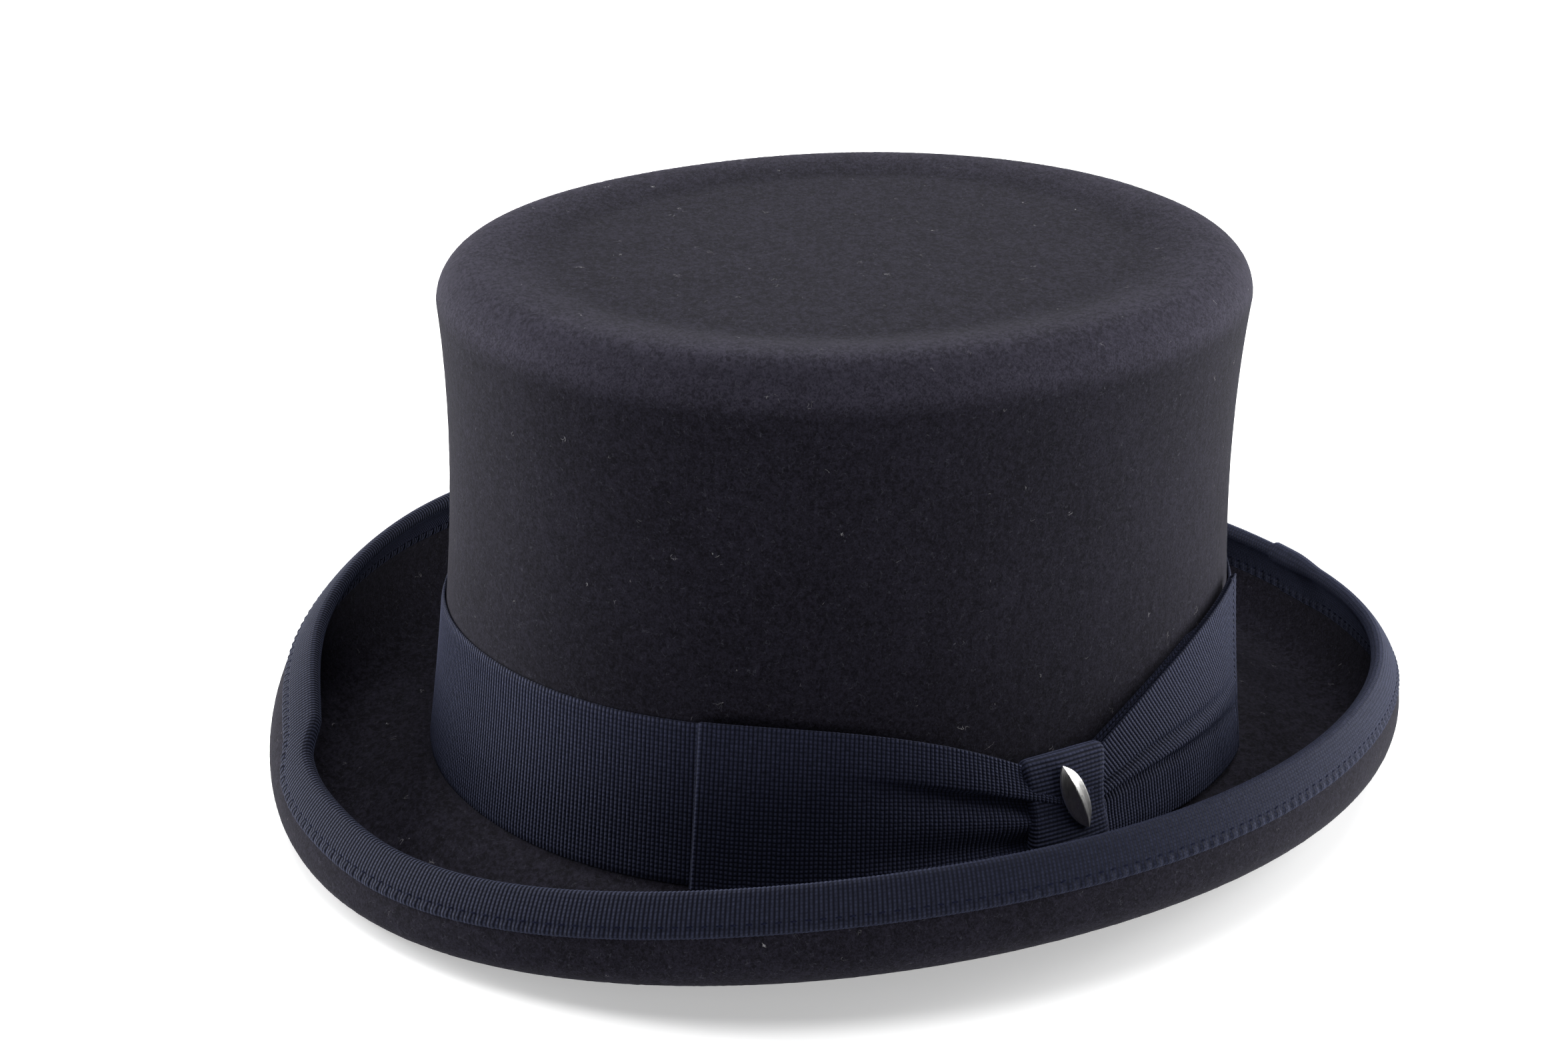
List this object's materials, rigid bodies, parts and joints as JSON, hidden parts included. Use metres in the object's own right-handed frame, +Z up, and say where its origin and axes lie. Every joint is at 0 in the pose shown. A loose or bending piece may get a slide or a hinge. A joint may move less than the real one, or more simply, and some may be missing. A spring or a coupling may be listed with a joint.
{
  "type": "top hat",
  "caption": "Low-crowned felt top hat with a curled, ribbon-bound brim, a grosgrain band with a side bow and plain pin, and a lined head opening; it covers the head.",
  "frame": {"origin": "bottom centre of the whole hat, on the level that its brim rests on", "axes": "+Z up through the crown; -Y to the front, +Y to the back; +X to the wearer's left, the side with the bow"},
  "size_m": [0.2652, 0.2984, 0.1355],
  "materials": {
    "felt": "charcoal fur felt with a fine raised nap",
    "band_ribbon": "dark navy grosgrain, ribbed",
    "binding_ribbon": "dark navy grosgrain, ribbed",
    "thread": "navy sewing thread",
    "pin_metal": "polished silver-coloured plate",
    "sweatband_leather": "dark brown smooth leather",
    "reed_plastic": "natural plastic reed",
    "satin_ribbon": "narrow navy satin ribbon",
    "lining_satin": "slate-blue satin",
    "piping_satin": "navy satin piping"
  },
  "bodies": {
    "root": {"felt_body": "felt", "brim_binding": "binding_ribbon", "binding_stitches": "thread", "hat_band": "band_ribbon", "bow_front_wing": "band_ribbon", "bow_rear_wing": "band_ribbon", "bow_knot": "band_ribbon", "pin_leaf": "pin_metal", "pin_prongs": "pin_metal", "sweatband": "sweatband_leather", "sweatband_reed": "reed_plastic", "sweatband_stitches": "thread", "sweatband_bow": "satin_ribbon", "lining_side": "lining_satin", "lining_tip": "lining_satin", "lining_piping": "piping_satin"}
  },
  "joints": []
}
